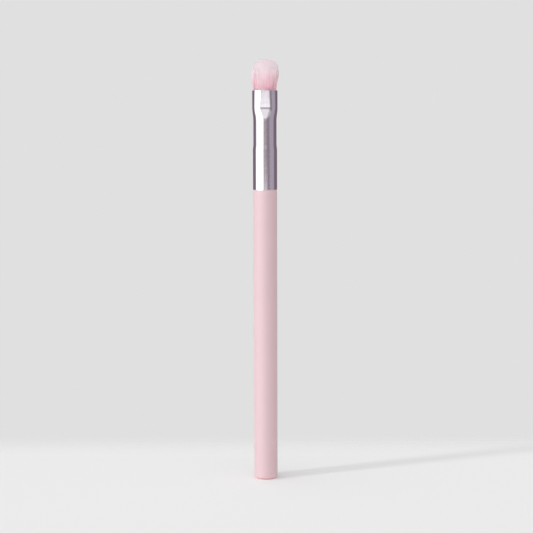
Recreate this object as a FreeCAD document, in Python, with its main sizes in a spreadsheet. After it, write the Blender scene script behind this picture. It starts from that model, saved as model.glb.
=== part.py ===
"""Eyeshadow brush standing on its butt: turned handle, drawn ferrule and bonded tuft.

The origin is the centre of the butt face. +Z runs up the brush to the tuft, X is the width of the
flattened mouth and Y its depth. Lengths are millimetres and angles degrees.
"""
import FreeCAD
import Part
import Sketcher
import math
import os

SIZES = (
    ("handle_length", "104.2", "butt face to the shoulder under the ferrule"),
    ("handle_diameter", "8.48", "straight barrel"),
    ("butt_rounding", "0.9", "radius of the butt edge"),
    ("shoulder_ease", "0.42", "eased end of the barrel under the ferrule"),
    ("shoulder_fall", "0.1", "how far the eased end falls in"),
    ("tenon_length", "11.5", "spigot above the shoulder"),
    ("tenon_chamfer", "0.6", "lead-in on the spigot's nose"),
    ("adhesive_film", "0.1", "glue between spigot and ferrule"),
    ("ferrule_stand", "0.04", "ferrule's foot proud of the barrel"),
    ("socket_length", "13.9", "straight foot of the ferrule"),
    ("neck_length", "2.5", "double curve from the foot to the waist"),
    ("waist_diameter", "8.2", "outside of the drawn-in waist"),
    ("waist_length", "8.1", "straight waist"),
    ("spread_length", "4.6", "from the round waist to the pinch"),
    ("collar_length", "6.1", "from the pinch to the mouth"),
    ("mouth_width", "8.92", "outside of pinch and mouth along X"),
    ("mouth_depth", "7.0", "outside of the mouth along Y"),
    ("pinch_depth", "6.4", "outside of the pinch along Y"),
    ("panel_turn", "10", "angle that each pressed panel turns through"),
    ("ferrule_wall", "0.4", "tube wall"),
    ("lip_bevel", "0.22", "burnished outer edge of the mouth"),
    ("foot_bevel", "0.12", "broken outer edge of the ferrule's foot"),
    ("plug_seat", "0.3", "start of the waist to the back of the resin"),
    ("plug_length", "4.0", "resin, back to front"),
    ("bundle_clearance", "0.12", "packed filaments to the tube"),
    ("tuft_length", "10.6", "mouth to the top of the dome"),
    ("tuft_shoulder", "6.2", "mouth to the widest line"),
    ("tuft_width", "10.0", "widest line along X"),
    ("tuft_depth", "7.8", "widest line along Y"),
    ("dome_power", "2.3", "squareness of the dome's outline"),
    ("filament_diameter", "0.42", "one modelled filament, a lock of real ones"),
    ("filament_gap", "0.06", "air between filaments in the mouth"),
    ("filament_point", "0.12", "diameter at the tip"),
    ("filament_taper", "2.5", "length of the tapered tip"),
    ("tip_scatter", "0.35", "difference between the longest and shortest filaments of a ring"),
    ("cut_overrun", "1.0", "cutter beyond the surface that it leaves"),
)
SPREAD_STEPS = 4
COLLAR_STEPS = 3
FILAMENT_SIDES = 4
ROOT_SIDES = 24
FULL_TURN = 360
LEVEL_SHARE = 0.01
GOLDEN_SHARE = (math.sqrt(5) - 1) / 2

doc = FreeCAD.newDocument("eyeshadow_brush")
sheet = doc.addObject("Spreadsheet::Sheet", "Sizes")
for row, (alias, text, note) in enumerate(SIZES, 1):
    sheet.set(f"A{row}", alias)
    sheet.set(f"B{row}", text)
    sheet.set(f"C{row}", note)
    sheet.setAlias(f"B{row}", alias)
doc.recompute()


def size(alias):
    """Return one driving size as a plain number."""
    return float(sheet.get(alias))


def number(formula):
    """Return the value of a formula on the sizes as a plain number."""
    return float(sheet.evalExpression(formula))


# Heights above the ferrule's foot, each the sum of the stretches below it
NECK_FOOT = "Sizes.socket_length"
WAIST_FOOT = f"({NECK_FOOT} + Sizes.neck_length)"
SPREAD_FOOT = f"({WAIST_FOOT} + Sizes.waist_length)"
PINCH = f"({SPREAD_FOOT} + Sizes.spread_length)"
MOUTH = f"({PINCH} + Sizes.collar_length)"
PLUG_BACK = f"({WAIST_FOOT} + Sizes.plug_seat)"
PLUG_FRONT = f"({PLUG_BACK} + Sizes.plug_length)"

# Radii that mating pieces share
HANDLE_RADIUS = "Sizes.handle_diameter / 2"
SOCKET_RADIUS = f"({HANDLE_RADIUS} + Sizes.ferrule_stand)"
SOCKET_BORE = f"({SOCKET_RADIUS} - Sizes.ferrule_wall)"
WAIST_BORE = "(Sizes.waist_diameter / 2 - Sizes.ferrule_wall)"
TENON_RADIUS = f"({SOCKET_BORE} - Sizes.adhesive_film)"


def add_sketch(body, name, role, lift="0"):
    """Add a sketch on one of the body's own origin planes, lifted along the plane's normal."""
    sketch = body.newObject("Sketcher::SketchObject", name)
    plane = next(item for item in body.Origin.OriginFeatures if item.Role == role)
    sketch.AttachmentSupport = [(plane, "")]
    sketch.MapMode = "FlatFace"
    if lift != "0":
        sketch.setExpression("AttachmentOffset.Base.z", lift)
    return sketch


def bind(sketch, kind, formula, *ends):
    """Add a dimension to a sketch and bind it to a formula on the sizes."""
    index = sketch.addConstraint(Sketcher.Constraint(kind, *ends, number(formula)))
    sketch.setExpression(f"Constraints[{index}]", formula)


def pin_point(sketch, edge, end, across, up):
    """Fix the end of a sketch edge at two formulas, read as distances from the origin."""
    for kind, formula in (("DistanceX", across), ("DistanceY", up)):
        if formula == "0":
            axis = -2 if kind == "DistanceX" else -1
            sketch.addConstraint(Sketcher.Constraint("PointOnObject", edge, end, axis))
        elif formula.startswith("-"):
            bind(sketch, kind, formula[1:], edge, end, -1, 1)
        else:
            bind(sketch, kind, formula, -1, 1, edge, end)


def vector(across, up):
    """Return the sketch point at two formulas."""
    return FreeCAD.Vector(number(across), number(up), 0)


def draw_profile(sketch, corners, radii=None):
    """Draw a closed outline through corners; a radius given for a side makes that side an arc.

    Each radius comes with 1 where the arc's centre lies to the left on the way round, or -1.
    """
    radii = radii or {}
    count = len(corners)
    for index, corner in enumerate(corners):
        start = vector(*corner)
        finish = vector(*corners[(index + 1) % count])
        if index in radii:
            add_arc(sketch, start, finish, *radii[index])
        else:
            sketch.addGeometry(Part.LineSegment(start, finish), False)
    ends = [(1, 2) if radii.get(index, (None, 1))[1] > 0 else (2, 1) for index in range(count)]
    for index, corner in enumerate(corners):
        following = (index + 1) % count
        meeting = (index, ends[index][1], following, ends[following][0])
        sketch.addConstraint(Sketcher.Constraint("Coincident", *meeting))
        pin_point(sketch, index, ends[index][0], *corner)
    for index, (formula, _) in radii.items():
        bind(sketch, "Radius", formula, index)


def add_arc(sketch, start, finish, formula, side):
    """Add the shorter arc between two points, with its centre to the left (side 1) or right (-1)."""
    radius = number(formula)
    chord = finish - start
    half = chord.Length / 2
    inward = FreeCAD.Vector(-chord.y, chord.x, 0) * (side / chord.Length)
    middle = (start + finish) / 2
    centre = middle + inward * math.sqrt(max(radius * radius - half * half, 0))
    circle = Part.Circle(centre, FreeCAD.Vector(0, 0, 1), radius)
    first, last = (start, finish) if side > 0 else (finish, start)
    angles = [math.atan2(point.y - centre.y, point.x - centre.x) for point in (first, last)]
    sketch.addGeometry(Part.ArcOfCircle(circle, *angles), False)


def revolve(body, name, sketch):
    """Turn a half-outline about the body's Z axis."""
    turned = body.newObject("PartDesign::Revolution", name)
    turned.Profile = sketch
    turned.ReferenceAxis = (sketch, ["V_Axis"])
    turned.Angle = FULL_TURN
    doc.recompute()
    return turned


def ring_edges(shape, height):
    """Name the edges that lie wholly at a height."""
    tolerance = size("foot_bevel") * LEVEL_SHARE
    names = []
    for index, edge in enumerate(shape.Edges, 1):
        box = edge.BoundBox
        if max(abs(box.ZMin - height), abs(box.ZMax - height)) < tolerance:
            names.append(f"Edge{index}")
    return names


def dress_edge(body, kind, name, base, edges, formula):
    """Round or chamfer edges of a feature by a formula on the sizes."""
    dressed = body.newObject(f"PartDesign::{kind}", name)
    dressed.Base = (base, edges)
    dressed.setExpression("Radius" if kind == "Fillet" else "Size", formula)
    doc.recompute()
    return dressed


def make_handle():
    """Turn the barrel with its eased end and its spigot, then round the butt and bevel the nose."""
    body = doc.addObject("PartDesign::Body", "handle")
    tenon_top = "(Sizes.handle_length + Sizes.tenon_length)"
    sketch = add_sketch(body, "handle_outline", "XZ_Plane")
    draw_profile(sketch, (
        ("0", "0"),
        (HANDLE_RADIUS, "0"),
        (HANDLE_RADIUS, "(Sizes.handle_length - Sizes.shoulder_ease)"),
        (f"({HANDLE_RADIUS} - Sizes.shoulder_fall)", "Sizes.handle_length"),
        (TENON_RADIUS, "Sizes.handle_length"),
        (TENON_RADIUS, tenon_top),
        ("0", tenon_top),
    ))
    turned = revolve(body, "handle_turning", sketch)
    butt = ring_edges(turned.Shape, 0)
    rounded = dress_edge(body, "Fillet", "butt_edge", turned, butt, "Sizes.butt_rounding")
    nose = ring_edges(rounded.Shape, number(tenon_top))
    dress_edge(body, "Chamfer", "tenon_nose", rounded, nose, "Sizes.tenon_chamfer")
    return body


def oval_radii(half_width, half_depth):
    """Return formulas for the side and panel radii of a four-arc oval.

    The oval has two broad panels front and back, tangent to two side arcs. A circle is the case
    where both halves are equal, and an oval with both halves less is its parallel inside it.
    """
    cosine = "sin(Sizes.panel_turn / 2)"
    sine = "cos(Sizes.panel_turn / 2)"
    divisor = f"(1 - {cosine} - {sine})"
    side = f"((({half_width}) * (1 - {sine}) - ({half_depth}) * {cosine}) / {divisor})"
    panel = f"((({half_depth}) * (1 - {cosine}) - ({half_width}) * {sine}) / {divisor})"
    return side, panel


def oval_sketch(body, name, lift, half_width, half_depth):
    """Draw a four-arc oval, so that every section of the ferrule has the same four edges."""
    side, panel = oval_radii(half_width, half_depth)
    across = f"({panel} * sin(Sizes.panel_turn / 2))"
    up = f"({side} * cos(Sizes.panel_turn / 2))"
    sketch = add_sketch(body, name, "XY_Plane", lift)
    corners = ((across, f"-{up}"), (across, up), (f"-{across}", up), (f"-{across}", f"-{up}"))
    draw_profile(sketch, corners, {0: (side, 1), 1: (panel, 1), 2: (side, 1), 3: (panel, 1)})
    return sketch


def neck_outline(inset, foot, curved):
    """Return the half-outline of foot, neck and waist inside the tube's outside by an inset.

    A curved neck is two equal arcs that leave the foot and the waist upright.
    """
    socket = f"({SOCKET_RADIUS} - {inset})"
    waist = f"(Sizes.waist_diameter / 2 - {inset})"
    corners = [
        ("0", foot),
        (socket, foot),
        (socket, NECK_FOOT),
        (waist, WAIST_FOOT),
        (waist, SPREAD_FOOT),
        ("0", SPREAD_FOOT),
    ]
    step = f"(({socket} - {waist}) / 2)"
    if not curved or number(step) == 0:
        return corners, {}
    middle = f"(({socket} + {waist}) / 2)"
    height = f"({NECK_FOOT} + Sizes.neck_length / 2)"
    radius = f"((Sizes.neck_length * Sizes.neck_length / 4 + {step} * {step}) / (2 * abs({step})))"
    inward = 1 if number(step) > 0 else -1
    corners.insert(3, (middle, height))
    return corners, {2: (radius, inward), 3: (radius, -inward)}


def spread_sections(body, inset):
    """Draw the sections from the round waist to the pinch, which leave both ends upright."""
    sections = []
    for step in range(SPREAD_STEPS + 1):
        stage_share = step / SPREAD_STEPS
        ease_share = stage_share * stage_share * (3 - 2 * stage_share)
        waist = f"Sizes.waist_diameter * {(1 - ease_share) / 2}"
        half_width = f"{waist} + Sizes.mouth_width * {ease_share / 2} - {inset}"
        half_depth = f"{waist} + Sizes.pinch_depth * {ease_share / 2} - {inset}"
        lift = f"{SPREAD_FOOT} + Sizes.spread_length * {stage_share}"
        sections.append(oval_sketch(body, f"{body.Name}_spread_{step}", lift, half_width, half_depth))
    return sections


def collar_sections(body, inset):
    """Draw the sections from the pinch to the mouth, which opens a little again."""
    sections = []
    for step in range(COLLAR_STEPS + 1):
        stage_share = step / COLLAR_STEPS
        pinch = f"Sizes.pinch_depth * {(1 - stage_share) / 2}"
        half_width = f"Sizes.mouth_width / 2 - {inset}"
        half_depth = f"{pinch} + Sizes.mouth_depth * {stage_share / 2} - {inset}"
        lift = f"{PINCH} + Sizes.collar_length * {stage_share}"
        sections.append(oval_sketch(body, f"{body.Name}_collar_{step}", lift, half_width, half_depth))
    return sections


def loft(body, name, sections, ruled):
    """Loft a stretch of the ferrule's form through its sections."""
    doc.recompute()
    stretch = body.newObject("PartDesign::AdditiveLoft", name)
    stretch.Profile = sections[0]
    stretch.Sections = sections[1:]
    stretch.Ruled = ruled
    doc.recompute()


def ferrule_form(name, inset, foot="0", beyond="0"):
    """Build the ferrule's form inside its outside by an inset: foot, waist, spread and collar.

    The outside is curved from the waist to the pinch. The bore, which nothing shows, follows it in
    straight cones, and runs on beyond the mouth.
    """
    curved = inset == "0"
    body = doc.addObject("PartDesign::Body", name)
    outline = add_sketch(body, f"{name}_outline", "XZ_Plane")
    draw_profile(outline, *neck_outline(inset, foot, curved))
    revolve(body, f"{name}_turning", outline)
    loft(body, f"{name}_spread", spread_sections(body, inset), not curved)
    loft(body, f"{name}_collar", collar_sections(body, inset), True)
    if beyond != "0":
        half_width = f"Sizes.mouth_width / 2 - {inset}"
        half_depth = f"Sizes.mouth_depth / 2 - {inset}"
        opening = body.newObject("PartDesign::Pad", f"{name}_opening")
        opening.Profile = oval_sketch(body, f"{name}_mouth", MOUTH, half_width, half_depth)
        opening.setExpression("Length", beyond)
        doc.recompute()
    return body


def make_ferrule():
    """Cut the bore from the tube's outside, after bevelling its lip and foot."""
    outside = ferrule_form("ferrule_outside", "0")
    lip = ring_edges(outside.Shape, number(MOUTH))
    burnished = dress_edge(outside, "Chamfer", "lip_edge", outside.Tip, lip, "Sizes.lip_bevel")
    foot = ring_edges(burnished.Shape, 0)
    dress_edge(outside, "Chamfer", "foot_edge", burnished, foot, "Sizes.foot_bevel")
    bore = ferrule_form("ferrule_bore", "Sizes.ferrule_wall", "-Sizes.cut_overrun", "Sizes.cut_overrun")
    tube = doc.addObject("Part::Cut", "ferrule")
    tube.Base = outside
    tube.Tool = bore
    return tube


def make_adhesive():
    """Turn the glue film that fills the bore around the spigot's straight stretch."""
    body = doc.addObject("PartDesign::Body", "handle_adhesive")
    top = "(Sizes.tenon_length - Sizes.tenon_chamfer)"
    sketch = add_sketch(body, "adhesive_outline", "XZ_Plane")
    draw_profile(sketch, (
        (TENON_RADIUS, "0"),
        (SOCKET_BORE, "0"),
        (SOCKET_BORE, top),
        (TENON_RADIUS, top),
    ))
    revolve(body, "adhesive_turning", sketch)
    return body


def make_plug():
    """Turn the resin plug that fills the bore behind the roots."""
    body = doc.addObject("PartDesign::Body", "resin_plug")
    sketch = add_sketch(body, "plug_outline", "XZ_Plane")
    draw_profile(sketch, (
        ("0", "0"),
        (WAIST_BORE, "0"),
        (WAIST_BORE, "Sizes.plug_length"),
        ("0", "Sizes.plug_length"),
    ))
    revolve(body, "plug_turning", sketch)
    return body


def level_corners(centre, diameter):
    """Return the corners of a filament's level section."""
    corners = []
    for side in range(FILAMENT_SIDES):
        angle = math.tau * side / FILAMENT_SIDES
        corners.append(centre + FreeCAD.Vector(math.cos(angle), math.sin(angle), 0) * (diameter / 2))
    return corners


def flat_face(corners):
    """Return the flat face inside a closed line through corners."""
    return Part.Face(Part.makePolygon([*corners, corners[0]]))


def filament_faces(rings):
    """Return the sides of a filament between its sections, and its tip."""
    faces = [flat_face(rings[-1])]
    for lower, upper in zip(rings, rings[1:]):
        for side in range(FILAMENT_SIDES):
            before = side - 1
            faces.append(flat_face((lower[before], lower[side], upper[side], upper[before])))
    return faces


def oval_points(half_width, half_depth, count):
    """Return points spaced evenly along a four-arc oval."""
    side, panel = [number(formula) for formula in oval_radii(half_width, half_depth)]
    panel_turn = math.radians(size("panel_turn"))
    side_turn = math.pi - panel_turn
    side_run = side * side_turn
    half_way = side_run + panel * panel_turn
    points = []
    for place in range(count):
        along = 2 * half_way * place / count
        turn = 1 if along < half_way else -1
        along %= half_way
        if along < side_run:
            angle = along / side - side_turn / 2
            across = half_width - side + side * math.cos(angle)
            up = side * math.sin(angle)
        else:
            angle = side_turn / 2 + (along - side_run) / panel
            across = panel * math.cos(angle)
            up = half_depth - panel + panel * math.sin(angle)
        points.append((turn * across, turn * up))
    return points


def filament_feet(half_width, half_depth):
    """Return filament centres in rings parallel to the mouth, with a row in the middle.

    Each centre has its ring's outermost half depth as a share of the mouth's.
    """
    radius = size("filament_diameter") / 2
    pitch = 2 * radius + size("filament_gap")
    margin = radius + size("filament_gap")
    side, panel = [number(formula) for formula in oval_radii(half_width, half_depth)]
    panel_turn = math.radians(size("panel_turn"))
    girth = 2 * (side * (math.pi - panel_turn) + panel * panel_turn)
    rings = int((side - margin) / pitch)
    ring_step = (side - margin) / rings
    feet = []
    for ring in range(rings):
        inset = margin + ring_step * ring
        ring_depth = half_depth - inset
        count = int((girth - math.tau * inset) / pitch)
        for centre in oval_points(half_width - inset, ring_depth, count):
            feet.append((*centre, (ring_depth + radius) / half_depth))
    row_reach = half_width - side
    row = max(int(2 * row_reach / pitch), 1)
    for place in range(row + 1):
        feet.append((row_reach * (2 * place / row - 1), 0, 0))
    return feet


def filament_rings(foot, scatter_share, pinch_share, flare):
    """Return the level sections of one filament, from the packed roots to its tip.

    It rises from the pinch to the mouth, leans out above the mouth and ends on the dome.
    """
    across, up, reach_share = foot
    shoulder = size("tuft_shoulder")
    power = size("dome_power")
    dome_share = (1 - reach_share ** power) ** (1 / power)
    tip = shoulder + (size("tuft_length") - shoulder) * dome_share - size("tip_scatter") * scatter_share
    taper = tip - size("filament_taper")
    stations = (
        (-size("collar_length"), (1, pinch_share), "filament_diameter"),
        (0, (1, 1), "filament_diameter"),
        (taper, [1 + share * taper / shoulder for share in flare], "filament_diameter"),
        (tip, [1 + share * tip / shoulder for share in flare], "filament_point"),
    )
    rings = []
    for height, spread, alias in stations:
        centre = FreeCAD.Vector(across * spread[0], up * spread[1], number(MOUTH) + height)
        rings.append(level_corners(centre, size(alias)))
    return rings


def root_rings(half_width, half_depth):
    """Return the level sections of the packed roots, from the resin to the pinch.

    The roots are round in the waist and flattened at the pinch.
    """
    waist = number(f"{WAIST_BORE} - Sizes.bundle_clearance")
    stations = (
        (PLUG_FRONT, waist, waist),
        (SPREAD_FOOT, waist, waist),
        (PINCH, half_width, half_depth),
    )
    rings = []
    for height, across, up in stations:
        points = oval_points(across, up, ROOT_SIDES)
        rings.append([FreeCAD.Vector(*point, number(height)) for point in points])
    return rings


def root_faces(rings):
    """Return the sole of the packed roots and their sides, in flat triangles."""
    faces = [flat_face(rings[0])]
    for lower, upper in zip(rings, rings[1:]):
        for side in range(ROOT_SIDES):
            before = side - 1
            faces.append(flat_face((lower[before], lower[side], upper[side])))
            faces.append(flat_face((lower[before], upper[side], upper[before])))
    return faces


def make_tuft():
    """Grow the loose filaments from the top of the packed roots, as one closed solid."""
    inset = "Sizes.ferrule_wall - Sizes.bundle_clearance"
    half_width = number(f"Sizes.mouth_width / 2 - {inset}")
    half_depth = number(f"Sizes.mouth_depth / 2 - {inset}")
    pinched = number(f"Sizes.pinch_depth / 2 - {inset}")
    flare = (size("tuft_width") / 2 / half_width - 1, size("tuft_depth") / 2 / half_depth - 1)
    roots = root_rings(half_width, pinched)
    faces = root_faces(roots)
    soles = []
    for index, foot in enumerate(filament_feet(half_width, half_depth)):
        rings = filament_rings(foot, index * GOLDEN_SHARE % 1, pinched / half_depth, flare)
        faces += filament_faces(rings)
        soles.append(flat_face(rings[0]))
    faces += flat_face(roots[-1]).cut(soles).Faces
    shell = Part.makeShell(faces)
    shell.sewShape()
    tuft = doc.addObject("Part::Feature", "tuft")
    tuft.Shape = Part.makeSolid(shell)
    return tuft


def finish():
    """Seat every piece on the handle, check every object and write the pieces."""
    pieces = {
        make_handle(): "0",
        make_ferrule(): "Sizes.handle_length",
        make_adhesive(): "Sizes.handle_length",
        make_plug(): f"Sizes.handle_length + {PLUG_BACK}",
        make_tuft(): "Sizes.handle_length",
    }
    for piece, seat in pieces.items():
        if seat != "0":
            piece.setExpression("Placement.Base.z", seat)
    doc.recompute()
    for item in doc.Objects:
        if "Invalid" in item.State or "Error" in item.State:
            raise RuntimeError(f"{item.Name} did not build: {item.State}")
    os.makedirs("parts", exist_ok=True)
    for piece in pieces:
        if piece.Shape.isNull() or not piece.Shape.isValid() or len(piece.Shape.Solids) != 1:
            raise RuntimeError(f"{piece.Label} is not one sound solid")
        piece.Shape.exportStep(os.path.join("parts", f"{piece.Label}.step"))


finish()
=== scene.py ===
"""Eyeshadow brush, standing on its butt in a pale studio.

The handle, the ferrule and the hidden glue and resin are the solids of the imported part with
finishes of their own. The tuft is grown here, filament by filament, in the place of its solid.
Everything is in metres in the part's frame: +Z runs up the brush and -Y faces the camera.
"""
from __future__ import annotations

import logging
import math
from dataclasses import dataclass
from enum import Enum
from typing import Any, ClassVar, Protocol

import bpy
import numpy as np
from mathutils import Euler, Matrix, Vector

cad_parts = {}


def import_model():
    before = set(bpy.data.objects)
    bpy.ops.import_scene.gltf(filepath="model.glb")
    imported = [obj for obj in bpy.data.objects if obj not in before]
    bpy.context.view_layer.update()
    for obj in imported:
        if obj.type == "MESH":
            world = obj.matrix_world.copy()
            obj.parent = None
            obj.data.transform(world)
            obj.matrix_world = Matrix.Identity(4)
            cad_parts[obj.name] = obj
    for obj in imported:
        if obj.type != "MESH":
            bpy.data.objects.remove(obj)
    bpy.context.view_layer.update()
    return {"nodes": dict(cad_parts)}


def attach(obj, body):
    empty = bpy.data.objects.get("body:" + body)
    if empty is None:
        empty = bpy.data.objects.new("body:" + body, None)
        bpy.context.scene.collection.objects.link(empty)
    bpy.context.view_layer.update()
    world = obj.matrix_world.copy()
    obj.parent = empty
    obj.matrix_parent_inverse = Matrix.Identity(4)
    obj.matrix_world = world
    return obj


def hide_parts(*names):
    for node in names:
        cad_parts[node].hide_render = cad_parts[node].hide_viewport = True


LOG = logging.getLogger("eyeshadow_brush")
MM = 0.001
# Sockets of a Mix node that mixes colours, whose names repeat for each kind of data
MIX_FACTOR, MIX_FIRST, MIX_SECOND, MIX_RESULT = 0, 6, 7, 2
# Least length that a direction is divided by
TINY = 1e-9


class Slot(Enum):
    """Material slots of the part's record."""

    HANDLE = "pink_lacquered_wood"
    FERRULE = "satin_aluminium"
    TUFT = "pink_filament"
    RESIN = "cured_epoxy"
    GLUE = "cured_glue"


class Ray(Enum):
    """Kinds of ray that a stage piece can be hidden from."""

    CAMERA = "visible_camera"
    DIFFUSE = "visible_diffuse"
    GLOSSY = "visible_glossy"
    TRANSMISSION = "visible_transmission"
    SCATTER = "visible_volume_scatter"
    SHADOW = "visible_shadow"


def linear(code: str) -> tuple[float, float, float, float]:
    """Turn an sRGB hex colour into linear light.

    Args:
        code: Colour as "#RRGGBB".

    Returns:
        Red, green, blue and an alpha of one.
    """
    shares = [int(code[place:place + 2], 16) / 255 for place in (1, 3, 5)]
    light = [s / 12.92 if s <= 0.04045 else ((s + 0.055) / 1.055) ** 2.4 for s in shares]
    return light[0], light[1], light[2], 1.0


def add_node(
    tree: bpy.types.NodeTree,
    kind: str,
    options: dict[str, Any],
    inputs: dict[str | int, Any],
) -> bpy.types.Node:
    """Add a node with its options, and link or set each named input.

    Args:
        tree: Node tree that gets the node.
        kind: Blender's name for the node type.
        options: Properties of the node itself.
        inputs: Values by socket name or number; an output socket is linked.

    Returns:
        The new node.
    """
    node = tree.nodes.new(kind)
    for name, value in options.items():
        setattr(node, name, value)
    for key, value in inputs.items():
        if isinstance(value, bpy.types.NodeSocket):
            tree.links.new(value, node.inputs[key])
        else:
            node.inputs[key].default_value = value
    return node


def new_material(name: str) -> tuple[bpy.types.Material, bpy.types.NodeTree]:
    """Start a material with only an output node.

    Args:
        name: Name of the finish.

    Returns:
        The material and its node tree.
    """
    material = bpy.data.materials.new(name)
    material.use_nodes = True
    material.node_tree.nodes.clear()
    return material, material.node_tree


def close_material(tree: bpy.types.NodeTree, shader: bpy.types.Node) -> None:
    """Link a shader to a new output node.

    Args:
        tree: Node tree of the material or the world.
        shader: Node whose first output is the surface.
    """
    kind = "ShaderNodeOutputMaterial"
    if isinstance(tree.id_data, bpy.types.World):
        kind = "ShaderNodeOutputWorld"
    add_node(tree, kind, {}, {"Surface": shader.outputs[0]})


class Finish(Protocol):
    """A surface finish that can make its material."""

    def material(self) -> bpy.types.Material:
        """Make the material."""


@dataclass(frozen=True)
class SatinLacquer:
    """Nitrocellulose lacquer, sprayed on turned hardwood and left satin.

    The eye gets an even pale pink with a soft wide highlight, a faint spray texture in it, and a
    warm dark line painted on the butt's lowest rounding as the shade where the edge meets the
    floor.
    """

    pink: str = "#C7AAAF"
    deep_pink: str = "#C3A4AA"
    # Warm dark colour painted on the lowest rounding of the butt: painted contact shade where the
    # edge meets the floor
    painted_contact_shade: str = "#D29092"
    cloud_mm: float = 7.0
    cloud_detail: float = 3.0
    # Spray texture is about 0.5 mm across, drawn a little coarser so that it shows
    peel_mm: float = 0.8
    peel_detail: float = 2.0
    peel_strength: float = 0.5
    peel_depth_mm: float = 0.006
    roughness: tuple[float, float] = (0.54, 0.64)
    ior: float = 1.5
    film: float = 1.0
    film_roughness: float = 0.64
    # Heights above the butt over which the painted contact shade fades out
    contact_shade_band_mm: tuple[float, float] = (0.15, 0.75)

    def material(self) -> bpy.types.Material:
        """Make the material.

        Returns:
            The lacquer, with a painted contact shade at the butt edge.
        """
        material, tree = new_material("satin_pink_lacquer_on_hardwood")
        place = add_node(tree, "ShaderNodeTexCoord", {}, {}).outputs["Object"]
        cloud = add_node(tree, "ShaderNodeTexNoise", {}, {
            "Vector": place, "Scale": 1 / (self.cloud_mm * MM), "Detail": self.cloud_detail})
        pink = add_node(tree, "ShaderNodeMix", {"data_type": "RGBA"}, {
            MIX_FACTOR: cloud.outputs["Fac"], MIX_FIRST: linear(self.deep_pink),
            MIX_SECOND: linear(self.pink)})
        height = add_node(tree, "ShaderNodeSeparateXYZ", {}, {0: place}).outputs["Z"]
        # Mask of the painted contact shade: full at the butt's bottom, gone above its band
        edge = add_node(tree, "ShaderNodeMapRange", {"interpolation_type": "SMOOTHSTEP"}, {
            "Value": height, "From Min": self.contact_shade_band_mm[0] * MM,
            "From Max": self.contact_shade_band_mm[1] * MM, "To Min": 1.0, "To Max": 0.0})
        colour = add_node(tree, "ShaderNodeMix", {"data_type": "RGBA"}, {
            MIX_FACTOR: edge.outputs[0], MIX_FIRST: pink.outputs[MIX_RESULT],
            MIX_SECOND: linear(self.painted_contact_shade)})
        peel = add_node(tree, "ShaderNodeTexNoise", {}, {
            "Vector": place, "Scale": 1 / (self.peel_mm * MM), "Detail": self.peel_detail})
        gloss = add_node(tree, "ShaderNodeMapRange", {}, {
            "Value": cloud.outputs["Fac"], "To Min": self.roughness[0],
            "To Max": self.roughness[1]})
        bump = add_node(tree, "ShaderNodeBump", {}, {
            "Height": peel.outputs["Fac"], "Strength": self.peel_strength,
            "Distance": self.peel_depth_mm * MM})
        shader = add_node(tree, "ShaderNodeBsdfPrincipled", {}, {
            "Base Color": colour.outputs[MIX_RESULT], "Roughness": gloss.outputs[0],
            "Normal": bump.outputs[0], "IOR": self.ior, "Coat Weight": self.film,
            "Coat Roughness": self.film_roughness})
        close_material(tree, shader)
        return material


@dataclass(frozen=True)
class AnodisedAluminium:
    """Aluminium tube, drawn, burnished and anodised to a satin mauve silver.

    The eye gets long soft reflections with a faint violet cast, and fine lines along the tube that
    the drawing die left under the oxide.
    """

    silver: str = "#DED9DF"
    shaded_silver: str = "#D6D1D8"
    # Die lines are some 0.03 mm apart, drawn coarser so that they show
    line_mm: float = 0.22
    line_length_mm: float = 12.0
    line_depth_mm: float = 0.0012
    line_detail: float = 3.0
    line_strength: float = 0.4
    roughness: tuple[float, float] = (0.1, 0.13)

    def material(self) -> bpy.types.Material:
        """Make the material.

        Returns:
            The satin metal.
        """
        material, tree = new_material("anodised_satin_aluminium")
        place = add_node(tree, "ShaderNodeTexCoord", {}, {}).outputs["Object"]
        across = 1 / (self.line_mm * MM)
        along = 1 / (self.line_length_mm * MM)
        drawn = add_node(tree, "ShaderNodeMapping", {}, {
            "Vector": place, "Scale": (across, across, along)})
        lines = add_node(tree, "ShaderNodeTexNoise", {}, {
            "Vector": drawn.outputs[0], "Scale": 1.0, "Detail": self.line_detail})
        colour = add_node(tree, "ShaderNodeMix", {"data_type": "RGBA"}, {
            MIX_FACTOR: lines.outputs["Fac"], MIX_FIRST: linear(self.shaded_silver),
            MIX_SECOND: linear(self.silver)})
        gloss = add_node(tree, "ShaderNodeMapRange", {}, {
            "Value": lines.outputs["Fac"], "To Min": self.roughness[0],
            "To Max": self.roughness[1]})
        bump = add_node(tree, "ShaderNodeBump", {}, {
            "Height": lines.outputs["Fac"], "Strength": self.line_strength,
            "Distance": self.line_depth_mm * MM})
        shader = add_node(tree, "ShaderNodeBsdfPrincipled", {}, {
            "Base Color": colour.outputs[MIX_RESULT], "Metallic": 1.0,
            "Roughness": gloss.outputs[0], "Normal": bump.outputs[0]})
        close_material(tree, shader)
        return material


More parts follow.
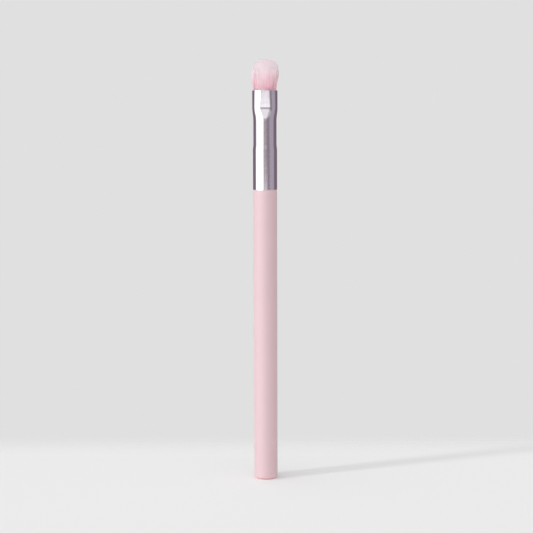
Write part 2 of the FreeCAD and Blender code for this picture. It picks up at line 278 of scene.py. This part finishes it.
@dataclass(frozen=True)
class TaperedFilament:
    """Polyester (PBT) filament, dyed pink, tapered and paled at the tips by an alkali bath.

    The eye gets a soft matt bundle, deeper pink near the ferrule with darker pink streaks by lock,
    and a milky pale head. The streaks are painted shade of the gaps between the locks; the deeper
    roots are partly the dye and partly painted shade of the crowded bundle. Each filament's map
    holds its tint across and its length upwards.
    """

    # Darker at the roots than at the belly: partly the dye, partly painted shade where the
    # filaments crowd into the ferrule
    root: str = "#DDBBC5"
    belly: str = "#F6DAE1"
    tip: str = "#FDF0F6"
    # Darker pink mixed in by lock, strongest at the roots and gone at the tips: painted shade of
    # the gaps between the locks
    shade_streak: str = "#DB7F97"
    shade_streak_most: float = 0.8
    belly_place: float = 0.5
    roughness: float = 0.7
    ior: float = 1.55
    specular: float = 0.35
    sheen: float = 0.32
    sheen_pink: str = "#FFBCCD"
    sheen_roughness: float = 0.55

    def material(self) -> bpy.types.Material:
        """Make the material.

        Returns:
            The filament, driven by the map named OFBake.
        """
        material, tree = new_material("tapered_polyester_filament")
        place = add_node(tree, "ShaderNodeUVMap", {"uv_map": Tuft.MAP}, {}).outputs[0]
        split = add_node(tree, "ShaderNodeSeparateXYZ", {}, {0: place})
        low = add_node(tree, "ShaderNodeMapRange", {"interpolation_type": "SMOOTHSTEP"}, {
            "Value": split.outputs["Y"], "From Min": 0.0, "From Max": self.belly_place})
        high = add_node(tree, "ShaderNodeMapRange", {"interpolation_type": "SMOOTHSTEP"}, {
            "Value": split.outputs["Y"], "From Min": self.belly_place, "From Max": 1.0})
        lower = add_node(tree, "ShaderNodeMix", {"data_type": "RGBA"}, {
            MIX_FACTOR: low.outputs[0], MIX_FIRST: linear(self.root),
            MIX_SECOND: linear(self.belly)})
        length = add_node(tree, "ShaderNodeMix", {"data_type": "RGBA"}, {
            MIX_FACTOR: high.outputs[0], MIX_FIRST: lower.outputs[MIX_RESULT],
            MIX_SECOND: linear(self.tip)})
        # Each lock's column of the map sets how much painted gap shade it gets
        column = add_node(tree, "ShaderNodeMath", {"operation": "SNAP"}, {
            0: split.outputs["X"], 1: 1 / Tuft.COLUMNS})
        fading = add_node(tree, "ShaderNodeMapRange", {}, {
            "Value": split.outputs["Y"], "To Min": self.shade_streak_most, "To Max": 0.0})
        tint = add_node(tree, "ShaderNodeMath", {"operation": "MULTIPLY"}, {
            0: column.outputs[0], 1: fading.outputs[0]})
        colour = add_node(tree, "ShaderNodeMix", {"data_type": "RGBA"}, {
            MIX_FACTOR: tint.outputs[0], MIX_FIRST: length.outputs[MIX_RESULT],
            MIX_SECOND: linear(self.shade_streak)})
        shader = add_node(tree, "ShaderNodeBsdfPrincipled", {}, {
            "Base Color": colour.outputs[MIX_RESULT], "Roughness": self.roughness,
            "IOR": self.ior, "Specular IOR Level": self.specular, "Sheen Weight": self.sheen,
            "Sheen Tint": linear(self.sheen_pink), "Sheen Roughness": self.sheen_roughness})
        close_material(tree, shader)
        return material


@dataclass(frozen=True)
class PouredResin:
    """Epoxy or glue, poured and cured in the dark of the ferrule.

    The eye, if the brush is ever opened, gets a glossy amber body with a cloudy depth.
    """

    name: str
    clear: str
    cloudy: str
    cloud_mm: float = 1.6
    cloud_detail: float = 4.0
    ripple_mm: float = 2.4
    ripple_depth_mm: float = 0.02
    ripple_strength: float = 0.4
    roughness: float = 0.12
    ior: float = 1.55

    def material(self) -> bpy.types.Material:
        """Make the material.

        Returns:
            The cured body.
        """
        material, tree = new_material(self.name)
        place = add_node(tree, "ShaderNodeTexCoord", {}, {}).outputs["Object"]
        cloud = add_node(tree, "ShaderNodeTexNoise", {}, {
            "Vector": place, "Scale": 1 / (self.cloud_mm * MM), "Detail": self.cloud_detail})
        colour = add_node(tree, "ShaderNodeMix", {"data_type": "RGBA"}, {
            MIX_FACTOR: cloud.outputs["Fac"], MIX_FIRST: linear(self.clear),
            MIX_SECOND: linear(self.cloudy)})
        ripple = add_node(tree, "ShaderNodeTexNoise", {}, {
            "Vector": place, "Scale": 1 / (self.ripple_mm * MM)})
        bump = add_node(tree, "ShaderNodeBump", {}, {
            "Height": ripple.outputs["Fac"], "Strength": self.ripple_strength,
            "Distance": self.ripple_depth_mm * MM})
        shader = add_node(tree, "ShaderNodeBsdfPrincipled", {}, {
            "Base Color": colour.outputs[MIX_RESULT], "Roughness": self.roughness,
            "Normal": bump.outputs[0], "IOR": self.ior})
        close_material(tree, shader)
        return material


@dataclass
class SolidPiece:
    """A piece that keeps the shape of its solid and gets a finish."""

    node: str
    slot: Slot
    finish: Finish

    def dress(self, nodes: dict[str, bpy.types.Object]) -> bpy.types.Object:
        """Give the solid its finish.

        Args:
            nodes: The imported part's objects by name.

        Returns:
            The dressed object.
        """
        solid = nodes[self.node]
        solid.data.materials.clear()
        solid.data.materials.append(self.finish.material())
        return solid


@dataclass
class Strands:
    """Middle lines of filaments, with a row for each filament and a column for each ring."""

    points: np.ndarray
    facings: np.ndarray
    radii: np.ndarray
    tints: np.ndarray


@dataclass
class MeshData:
    """What a mesh is made from: its faces, and a row for each point in the other three."""

    spots: np.ndarray
    faces: list[tuple[int, ...]]
    places: np.ndarray
    normals: np.ndarray

    def join(self, other: MeshData) -> MeshData:
        """Put another mesh's points and faces after this one's.

        Args:
            other: The mesh that comes second.

        Returns:
            One mesh of both.
        """
        first = len(self.spots)
        moved = [tuple(first + corner for corner in face) for face in other.faces]
        return MeshData(
            np.concatenate([self.spots, other.spots]),
            self.faces + moved,
            np.concatenate([self.places, other.places]),
            np.concatenate([self.normals, other.normals]),
        )


@dataclass
class Tuft:
    """The filaments: packed in the mouth, spread and cut to a dome round a dense heart.

    Lengths are millimetres. Places in the bundle are points of a unit disc, which the bundle's half
    width and half depth at each height turn into places on the brush.
    """

    MAP: ClassVar[str] = "OFBake"
    COLUMNS: ClassVar[int] = 32

    mouth: float = 139.4
    half_width: float = 4.0
    half_depth: float = 3.04
    full_width: float = 4.74
    full_depth: float = 3.7
    shoulder: float = 6.2
    length: float = 10.6
    dome_power: float = 2.3
    squareness: float = 0.1
    spread_power: float = 1.25
    # Height where the sides stop turning in, as a share of the shoulder's, and how much they turn
    spread_end: float = 1.15
    turn_in: float = 0.9
    least_reach: float = 0.02
    root_depth: float = 0.6
    filaments: int = 5600
    jitter: float = 0.35
    sides: int = 3
    rings: int = 6
    ring_power: float = 0.9
    radius: float = 0.052
    tip_radius: float = 0.028
    taper_share: float = 0.45
    taper_power: float = 1.4
    cut_shape: tuple[float, float] = (1.3, 3.2)
    tip_scatter: float = 0.85
    tip_beyond: float = 0.28
    wander: float = 0.06
    lean: float = 0.3
    lean_power: float = 1.5
    locks: int = 46
    lock_turn: float = 0.4
    lock_pull: float = 0.1
    pull_power: float = 1.5
    pull_stretch: float = 1.05
    pull_start: float = 0.28
    tint_scatter: float = 0.16
    tint_most: float = 0.999
    own_share: float = 0.25
    facing_lift: float = 0.25
    heart_share: float = 0.98
    heart_drop: float = 0.2
    heart_turns: int = 72
    heart_levels: int = 9
    # Range of the painted gap shade on the heart's streaks
    heart_tints: tuple[float, float] = (0.1, 0.9)
    seed: int = 11

    def places(self, count: int, turn_start: float) -> np.ndarray:
        """Spread points evenly over the unit disc by the golden angle.

        Args:
            count: Number of points.
            turn_start: Angle of the first point.

        Returns:
            The points, one row each.
        """
        number = np.arange(count)
        reach = np.sqrt((number + 0.5) / count)
        turn = turn_start + number * math.pi * (3 - math.sqrt(5))
        return np.stack([reach * np.cos(turn), reach * np.sin(turn)], axis=1)

    def dome(self, reach: np.ndarray) -> np.ndarray:
        """Return the height of the cut above the mouth at distances from the bundle's middle."""
        share = (1 - np.minimum(reach, 1) ** self.dome_power) ** (1 / self.dome_power)
        return self.shoulder + (self.length - self.shoulder) * share

    def seat(self, disc: np.ndarray, height: np.ndarray) -> np.ndarray:
        """Turn places in the disc into places on the brush.

        Args:
            disc: Points of the unit disc.
            height: Their heights above the mouth.

        Returns:
            Points in the part's frame.
        """
        share = np.clip(height / self.shoulder, 0, self.spread_end)
        ease = np.sin(np.minimum(share, 1) * math.pi / 2) ** self.spread_power
        inward = 1 - self.turn_in * np.maximum(share - 1, 0) ** 2
        wide = (self.half_width + (self.full_width - self.half_width) * ease) * inward
        deep = (self.half_depth + (self.full_depth - self.half_depth) * ease) * inward
        # The product of the squares is at most a quarter, where the disc's diagonals end
        fuller = 1 + self.squareness * np.prod(disc ** 2, axis=-1) * 4
        lean = self.lean * np.clip(height / self.length, 0, 1) ** self.lean_power
        across, through = disc[..., 0] * fuller * wide + lean, disc[..., 1] * fuller * deep
        return np.stack([across, through, self.mouth + height], axis=-1)

    def outward(self, disc: np.ndarray, height: np.ndarray) -> np.ndarray:
        """Return which way the bundle faces, out at its sides and up at its dome.

        Light passes through fine filaments, so the far side is lifted towards the open sky.

        Args:
            disc: Points of the unit disc.
            height: Their heights above the mouth.

        Returns:
            Unit directions.
        """
        dome_height = self.length - self.shoulder
        over = np.clip((height - self.shoulder) / dome_height, 0, 1) ** (self.dome_power - 1)
        reach = np.maximum(np.linalg.norm(disc, axis=-1), self.least_reach) ** (self.dome_power - 2)
        facing = np.stack([
            disc[..., 0] * reach / self.full_width, disc[..., 1] * reach / self.full_depth,
            over / dome_height], axis=-1)
        facing /= np.maximum(np.linalg.norm(facing, axis=-1, keepdims=True), TINY)
        facing[..., 2] += self.facing_lift
        return facing / np.linalg.norm(facing, axis=-1, keepdims=True)

    def centrelines(self, draw: np.random.Generator) -> Strands:
        """Lay out every filament.

        Args:
            draw: Random numbers.

        Returns:
            The filaments' middle lines.
        """
        places = self.places(self.filaments, 0.0)
        places += draw.normal(0, self.jitter / math.sqrt(self.filaments), places.shape)
        middles = self.places(self.locks, self.lock_turn)
        middles += draw.normal(0, self.jitter / math.sqrt(self.locks), middles.shape)
        owner = np.linalg.norm(places[:, None] - middles[None], axis=2).argmin(axis=1)
        cut = draw.beta(*self.cut_shape, self.filaments) * self.tip_scatter - self.tip_beyond
        tips = self.dome(np.linalg.norm(places, axis=1)) - cut
        along = np.linspace(0, 1, self.rings) ** self.ring_power
        height = -self.root_depth + along[None] * (tips + self.root_depth)[:, None]
        rise = np.clip(height / tips[:, None], 0, 1)
        phase = np.clip(rise * self.pull_stretch + self.pull_start, 0, 1)
        pull = self.lock_pull * np.sin(phase * math.pi) ** self.pull_power
        disc = places[:, None] + pull[:, :, None] * (middles[owner] - places)[:, None]
        points = self.seat(disc, height)
        bend = draw.normal(0, self.wander, (self.filaments, 1, 2)) * rise[:, :, None] ** 2
        points[:, :, :2] += bend
        narrow = np.clip((rise - (1 - self.taper_share)) / self.taper_share, 0, 1)
        radii = self.radius + (self.tip_radius - self.radius) * narrow ** self.taper_power
        # A lock's tint sets how much painted gap shade its filaments get
        lock_tint = draw.uniform(0.0, 1.0, self.locks)[owner]
        own_tint = draw.normal(0, self.tint_scatter, self.filaments)
        tints = np.clip(lock_tint + own_tint, 0, self.tint_most)
        return Strands(points, self.outward(disc, height), radii, tints)

    def tubes(self, draw: np.random.Generator) -> MeshData:
        """Make a closed tapered tube along each filament.

        Light that passes between filaments evens out their shading, so each one faces more the way
        that the bundle does than its own round side.

        Args:
            draw: Random numbers.

        Returns:
            The tubes.
        """
        strands = self.centrelines(draw)
        points = strands.points
        count, rings, sides = self.filaments, self.rings, self.sides
        start = draw.uniform(0, math.tau, count)
        turn = start[:, None] + np.arange(sides)[None] * math.tau / sides
        ring = np.stack([np.cos(turn), np.sin(turn), np.zeros_like(turn)], axis=2)
        spots = points[:, :, None] + strands.radii[:, :, None, None] * ring[:, None]
        first = (np.arange(count) * rings * sides)[:, None, None]
        level = (np.arange(rings - 1) * sides)[None, :, None]
        side = np.arange(sides)[None, None]
        after = (side + 1) % sides
        low, low_after = first + level + side, first + level + after
        quads = np.stack([low, low_after, low_after + sides, low + sides], axis=3).reshape(-1, 4)
        soles = (first + np.arange(sides)[::-1])[:, 0]
        caps = (first + (rings - 1) * sides + np.arange(sides))[:, 0]
        faces = [tuple(face) for part in (quads, soles, caps) for face in part.tolist()]
        within = (np.arange(sides) + 0.5) / sides
        column = (np.floor(strands.tints * self.COLUMNS)[:, None, None] + within) / self.COLUMNS
        rise = np.clip((points[:, :, 2] - self.mouth) / (points[:, -1:, 2] - self.mouth), 0, 1)
        shape = (count, rings, sides)
        places = np.stack([
            np.broadcast_to(column, shape), np.broadcast_to(rise[:, :, None], shape)], axis=3)
        bundle = strands.facings[:, :, None] * (1 - self.own_share)
        normals = bundle + ring[:, None] * self.own_share
        return MeshData(
            spots.reshape(-1, 3), faces, places.reshape(-1, 2), normals.reshape(-1, 3))

    def heart(self, draw: np.random.Generator) -> MeshData:
        """Make the dense middle of the bundle, where filaments touch and no light gets between.

        Args:
            draw: Random numbers.

        Returns:
            The heart, closed at both ends.
        """
        turns, levels = self.heart_turns, self.heart_levels
        turn = np.arange(turns) * math.tau / turns
        side = np.linspace(-self.root_depth, self.shoulder - self.heart_drop, levels)
        lean = np.linspace(0, math.pi / 2, levels + 1)[1:-1]
        reach = np.concatenate([np.full(levels, self.heart_share), self.heart_share * np.cos(lean)])
        height = np.concatenate([side, self.dome(np.cos(lean)) - self.heart_drop])
        disc = reach[:, None, None] * np.stack([np.cos(turn), np.sin(turn)], axis=1)[None]
        heights = np.broadcast_to(height[:, None], disc.shape[:2])
        spots = self.seat(disc, heights).reshape(-1, 3)
        rows = np.arange(len(reach) - 1)[:, None] * turns
        here, there = rows + np.arange(turns), rows + (np.arange(turns) + 1) % turns
        quads = np.stack([here, there, there + turns, here + turns], axis=2).reshape(-1, 4)
        faces = [tuple(face) for face in quads.tolist()]
        faces.append(tuple(range(turns))[::-1])
        faces.append(tuple(range(len(spots) - turns, len(spots))))
        # The heart gets streaks of painted gap shade round it too
        shade_streak = np.broadcast_to(draw.uniform(*self.heart_tints, turns), disc.shape[:2])
        rise = np.clip(height / (self.length - self.heart_drop), 0, 1)
        places = np.stack([shade_streak, np.broadcast_to(rise[:, None], shade_streak.shape)], axis=2)
        normals = self.outward(disc / self.heart_share, heights)
        return MeshData(spots, faces, places.reshape(-1, 2), normals.reshape(-1, 3))

    def build(self) -> bpy.types.Object:
        """Make one mesh of the heart and all filaments, with the map that colours them.

        Returns:
            The tuft, in the place of its solid.
        """
        draw = np.random.default_rng(self.seed)
        tubes = self.tubes(draw)
        whole = tubes.join(self.heart(draw))
        normals = whole.normals / np.linalg.norm(whole.normals, axis=1, keepdims=True)
        mesh = bpy.data.meshes.new("tuft_filaments")
        mesh.from_pydata((whole.spots * MM).tolist(), [], whole.faces)
        corner = np.zeros(len(mesh.loops), int)
        mesh.loops.foreach_get("vertex_index", corner)
        layer = mesh.uv_layers.new(name=self.MAP)
        layer.data.foreach_set("uv", whole.places[corner].astype(np.float32).ravel())
        mesh.polygons.foreach_set("use_smooth", np.ones(len(mesh.polygons), bool))
        mesh.normals_split_custom_set_from_vertices(normals.tolist())
        mesh.update()
        tuft = bpy.data.objects.new("tuft_filaments", mesh)
        bpy.context.scene.collection.objects.link(tuft)
        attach(tuft, "root")
        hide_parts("tuft")
        return tuft

    def dress(self, tuft: bpy.types.Object, finish: TaperedFilament) -> None:
        """Give the filaments their finish.

        Args:
            tuft: The built tuft.
            finish: The filament's finish.
        """
        tuft.data.materials.append(finish.material())


@dataclass(frozen=True)
class SoftPanel:
    """A light panel of the studio as the brush mirrors it, in degrees round and above the brush.

    Turns run from the camera's side, negative to the left. A panel fades out over its softness.
    """

    level: float
    turns: tuple[float, float]
    heights: tuple[float, float] = (-90.0, 90.0)
    turn_soft: tuple[float, float] = (12.0, 12.0)
    height_soft: float = 2.0
    tint: str = "#FFFFFF"

    def glow(self, turn: np.ndarray, height: np.ndarray) -> np.ndarray:
        """Return the panel's light towards the brush from directions round it.

        Args:
            turn: Turns in degrees.
            height: Heights in degrees.

        Returns:
            The coloured light at each direction.
        """
        near = np.clip((turn - self.turns[0]) / self.turn_soft[0] + 0.5, 0, 1)
        far = np.clip((self.turns[1] - turn) / self.turn_soft[1] + 0.5, 0, 1)
        over = np.clip((height - self.heights[0]) / self.height_soft + 0.5, 0, 1)
        under = np.clip((self.heights[1] - height) / self.height_soft + 0.5, 0, 1)
        window = near * far * over * under
        strength = self.level * window * window * (3 - 2 * window)
        return strength[..., None] * np.array(linear(self.tint))


@dataclass
class Studio:
    """Floor, soft light, reflections and camera.

    Lengths are millimetres, angles degrees.
    """

    floor_grey: str = "#EBEBEB"
    wall_grey: str = "#E0E0E0"
    floor_reach: float = 1500.0
    # How far behind the brush the floor starts and ends its fade
    fade: tuple[float, float] = (31.0, 67.0)
    sky_tint: str = "#FFFFFF"
    # Light from the horizon and from overhead, and how much more comes from the left and the front
    sky: tuple[float, float] = (1.135, 0.745)
    sky_lean: float = 0.3
    sky_front: float = 0.2
    key: float = 0.57
    key_height: float = 42.0
    key_turn: float = 22.0
    key_size: float = 5.0
    card_watts: float = 0.0052
    card_place: tuple[float, float, float] = (36.0, -16.0, 182.0)
    card_size: float = 50.0
    card_aim: float = 145.0
    room_radius: float = 5000.0
    room_height: float = 120.0
    room_step: int = 2
    # Heights between which the room is drawn finely, and its coarse and fine steps
    room_fine: tuple[int, int] = (-14, 18)
    room_rows: tuple[float, float] = (4.0, 0.4)
    room_dark: str = "#867481"
    panels: tuple[SoftPanel, ...] = (
        # Tall window on the left, with a softer edge beside the ferrule's upper half
        SoftPanel(5.6, (-79.0, -24.5), turn_soft=(70.0, 38.0)),
        SoftPanel(0.9, (-70.0, -16.0), (-0.9, 90.0), (20.0, 18.0), 1.0),
        # Dim front and mauve wall on the right
        SoftPanel(0.33, (-10.0, 45.0), turn_soft=(10.0, 10.0), tint="#FFEDF9"),
        SoftPanel(0.515, (38.0, 100.0), turn_soft=(30.0, 30.0), tint="#FCF0FF"),
        # What the slope under the pressed panel faces, then the panel itself, brighter higher up
        SoftPanel(1.5, (-16.0, 23.0), (-60.0, -2.8), (10.0, 8.0), 0.5),
        SoftPanel(0.5, (-16.0, 12.0), (-1.1, 60.0), (10.0, 8.0), 0.8, "#FFF0F9"),
        SoftPanel(0.58, (-17.0, 20.0), (4.0, 60.0), (10.0, 8.0), 3.0, "#FFF4FB"),
        SoftPanel(1.1, (-17.0, 20.0), (16.0, 60.0), (10.0, 8.0), 4.0),
        # Pale table, bright in front where it lights the handle
        SoftPanel(5.4, (-115.0, 95.0), (-32.0, -11.0), (30.0, 40.0), 6.0),
        SoftPanel(1.1, (-200.0, 200.0), (-100.0, -8.0), height_soft=6.0),
        # Upper walls, the back wall a little lower, and the ceiling
        SoftPanel(0.6, (-200.0, 200.0), (14.0, 100.0), height_soft=10.0),
        SoftPanel(0.6, (-200.0, -140.0), (8.0, 100.0), (10.0, 20.0), 8.0),
        SoftPanel(0.6, (140.0, 200.0), (8.0, 100.0), (20.0, 10.0), 8.0),
        SoftPanel(1.2, (-200.0, 200.0), (62.0, 100.0), height_soft=12.0),
    )
    camera_distance: float = 452.0
    camera_height: float = 121.9
    camera_side: float = 0.54
    camera_pitch: float = 5.69
    camera_roll: float = 0.16
    focal_pixels: float = 1270.0
    frame_pixels: int = 533
    sensor: float = 36.0
    near_clip: float = 10.0

    def build(self) -> None:
        """Set the stage, the light and the camera."""
        self.lay_floor()
        self.hang_room()
        self.light_sky()
        self.hang_key()
        self.hang_card()
        self.place_camera()

    def lay_floor(self) -> None:
        """Lay the pale floor, which fades into the backdrop's grey behind the brush."""
        far = self.fade[1] * MM
        reach = self.floor_reach * MM
        mesh = bpy.data.meshes.new("studio_floor")
        corners = [(-reach, -reach, 0), (reach, -reach, 0), (reach, far, 0), (-reach, far, 0)]
        mesh.from_pydata(corners, [], [(0, 1, 2, 3)])
        floor = bpy.data.objects.new("studio_floor", mesh)
        bpy.context.scene.collection.objects.link(floor)
        material, tree = new_material("painted_paper_floor")
        place = add_node(tree, "ShaderNodeTexCoord", {}, {}).outputs["Object"]
        back = add_node(tree, "ShaderNodeSeparateXYZ", {}, {0: place}).outputs["Y"]
        fade = add_node(tree, "ShaderNodeMapRange", {"interpolation_type": "SMOOTHSTEP"}, {
            "Value": back, "From Min": self.fade[0] * MM, "From Max": far})
        paper = add_node(tree, "ShaderNodeBsdfDiffuse", {}, {"Color": linear(self.floor_grey)})
        clear = add_node(tree, "ShaderNodeBsdfTransparent", {}, {})
        mixed = add_node(tree, "ShaderNodeMixShader", {}, {
            0: fade.outputs[0], 1: paper.outputs[0], 2: clear.outputs[0]})
        close_material(tree, mixed)
        mesh.materials.append(material)
        floor.visible_glossy = False

    def hang_room(self) -> None:
        """Hang panels round the brush for it to mirror: they show in reflections alone."""
        low, high = self.room_fine
        coarse, fine = self.room_rows
        turn = np.radians(np.arange(-180, 180, self.room_step))
        height = np.radians(np.concatenate([
            np.arange(-90, low, coarse), np.arange(low, high, fine), np.arange(high, 91, coarse)]))
        turns, heights = np.meshgrid(turn, height)
        spots = self.room_radius * MM * np.stack([
            np.cos(heights) * np.sin(turns), -np.cos(heights) * np.cos(turns),
            np.sin(heights)], axis=2)
        rows = np.arange(len(height) - 1)[:, None] * len(turn)
        here, there = rows + np.arange(len(turn)), rows + (np.arange(len(turn)) + 1) % len(turn)
        quads = np.stack([here, there, there + len(turn), here + len(turn)], axis=2).reshape(-1, 4)
        mesh = bpy.data.meshes.new("studio_panels")
        mesh.from_pydata(spots.reshape(-1, 3).tolist(), [], quads.tolist())
        glow = np.broadcast_to(np.array(linear(self.room_dark)), (*turns.shape, 4))
        for panel in self.panels:
            glow = np.maximum(glow, panel.glow(np.degrees(turns), np.degrees(heights)))
        paint = mesh.attributes.new("glow", "FLOAT_COLOR", "POINT")
        paint.data.foreach_set("color", glow.astype(np.float32).ravel())
        room = bpy.data.objects.new("studio_panels", mesh)
        room.location = (0, 0, self.room_height * MM)
        bpy.context.scene.collection.objects.link(room)
        material, tree = new_material("panel_light")
        colour = add_node(tree, "ShaderNodeAttribute", {"attribute_name": "glow"}, {})
        light = add_node(tree, "ShaderNodeEmission", {}, {"Color": colour.outputs["Color"]})
        close_material(tree, light)
        mesh.materials.append(material)
        for ray in Ray:
            setattr(room, ray.value, ray is Ray.GLOSSY)

    def light_sky(self) -> None:
        """Light the world softly, brighter on the left, and show the backdrop's grey behind."""
        world = bpy.data.worlds.new("studio_world")
        bpy.context.scene.world = world
        world.use_nodes = True
        tree = world.node_tree
        tree.nodes.clear()
        ray = add_node(tree, "ShaderNodeLightPath", {}, {})
        direction = add_node(tree, "ShaderNodeTexCoord", {}, {}).outputs["Generated"]
        split = add_node(tree, "ShaderNodeSeparateXYZ", {}, {0: direction})
        height = add_node(tree, "ShaderNodeMapRange", {}, {
            "Value": split.outputs["Z"], "To Min": self.sky[0], "To Max": self.sky[1]})
        lean = add_node(tree, "ShaderNodeVectorMath", {"operation": "DOT_PRODUCT"}, {
            0: direction, 1: (-self.sky_lean, -self.sky_front, 0.0)})
        side = add_node(tree, "ShaderNodeMath", {"operation": "ADD"}, {
            0: lean.outputs["Value"], 1: 1.0})
        level = add_node(tree, "ShaderNodeMath", {"operation": "MULTIPLY"}, {
            0: height.outputs[0], 1: side.outputs[0]})
        soft = add_node(tree, "ShaderNodeBackground", {}, {
            "Color": linear(self.sky_tint), "Strength": level.outputs[0]})
        wall = add_node(tree, "ShaderNodeBackground", {}, {"Color": linear(self.wall_grey)})
        seen = add_node(tree, "ShaderNodeMath", {"operation": "MAXIMUM"}, {
            0: ray.outputs["Is Camera Ray"], 1: ray.outputs["Is Glossy Ray"]})
        shown = add_node(tree, "ShaderNodeMath", {"operation": "MAXIMUM"}, {
            0: seen.outputs[0], 1: ray.outputs["Is Transmission Ray"]})
        mixed = add_node(tree, "ShaderNodeMixShader", {}, {
            0: shown.outputs[0], 1: soft.outputs[0], 2: wall.outputs[0]})
        close_material(tree, mixed)

    def hang_key(self) -> None:
        """Hang the key light on the left and a little in front."""
        lamp = bpy.data.lights.new("key_light", "SUN")
        lamp.energy = self.key
        lamp.angle = math.radians(self.key_size)
        key = bpy.data.objects.new("key_light", lamp)
        turn, height = math.radians(self.key_turn), math.radians(self.key_height)
        travel = Vector((
            math.cos(turn) * math.cos(height),
            math.sin(turn) * math.cos(height),
            -math.sin(height),
        ))
        key.rotation_euler = travel.to_track_quat("-Z", "Y").to_euler()
        bpy.context.scene.collection.objects.link(key)

    def hang_card(self) -> None:
        """Hold a soft card above the tuft's far side, unseen in the metal."""
        lamp = bpy.data.lights.new("soft_card", "AREA")
        lamp.energy = self.card_watts
        lamp.size = self.card_size * MM
        card = bpy.data.objects.new("soft_card", lamp)
        card.location = Vector(self.card_place) * MM
        towards = Vector((0.0, 0.0, self.card_aim)) - Vector(self.card_place)
        card.rotation_euler = towards.to_track_quat("-Z", "Y").to_euler()
        setattr(card, Ray.GLOSSY.value, False)
        bpy.context.scene.collection.objects.link(card)

    def place_camera(self) -> None:
        """Stand the camera in front of the brush, a little below its ferrule's mouth."""
        lens = bpy.data.cameras.new("portrait_camera")
        lens.sensor_width = self.sensor
        lens.lens = self.sensor * self.focal_pixels / self.frame_pixels
        lens.clip_start = self.near_clip * MM
        camera = bpy.data.objects.new("portrait_camera", lens)
        camera.location = (
            self.camera_side * MM, -self.camera_distance * MM, self.camera_height * MM)
        camera.rotation_euler = Euler((
            math.radians(90 - self.camera_pitch), math.radians(self.camera_roll), 0), "XYZ")
        bpy.context.scene.collection.objects.link(camera)
        bpy.context.scene.camera = camera


def main() -> None:
    """Build the brush and its studio."""
    logging.basicConfig(level=logging.INFO, format="%(name)s: %(message)s")
    bpy.context.scene.view_settings.view_transform = "Standard"
    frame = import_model()
    solids = (
        SolidPiece("handle", Slot.HANDLE, SatinLacquer()),
        SolidPiece("ferrule", Slot.FERRULE, AnodisedAluminium()),
        SolidPiece("resin_plug", Slot.RESIN, PouredResin("cured_epoxy", "#C9A878", "#D8BC92")),
        SolidPiece("handle_adhesive", Slot.GLUE, PouredResin("cured_glue", "#D9CDAE", "#E4DBC2")),
    )
    for piece in solids:
        LOG.info("dressed %s", piece.dress(frame["nodes"]).name)
    tuft = Tuft()
    filaments = tuft.build()
    tuft.dress(filaments, TaperedFilament())
    LOG.info("grew %s with %d faces", filaments.name, len(filaments.data.polygons))
    Studio().build()
    bpy.context.view_layer.update()


if __name__ == "__main__":
    main()
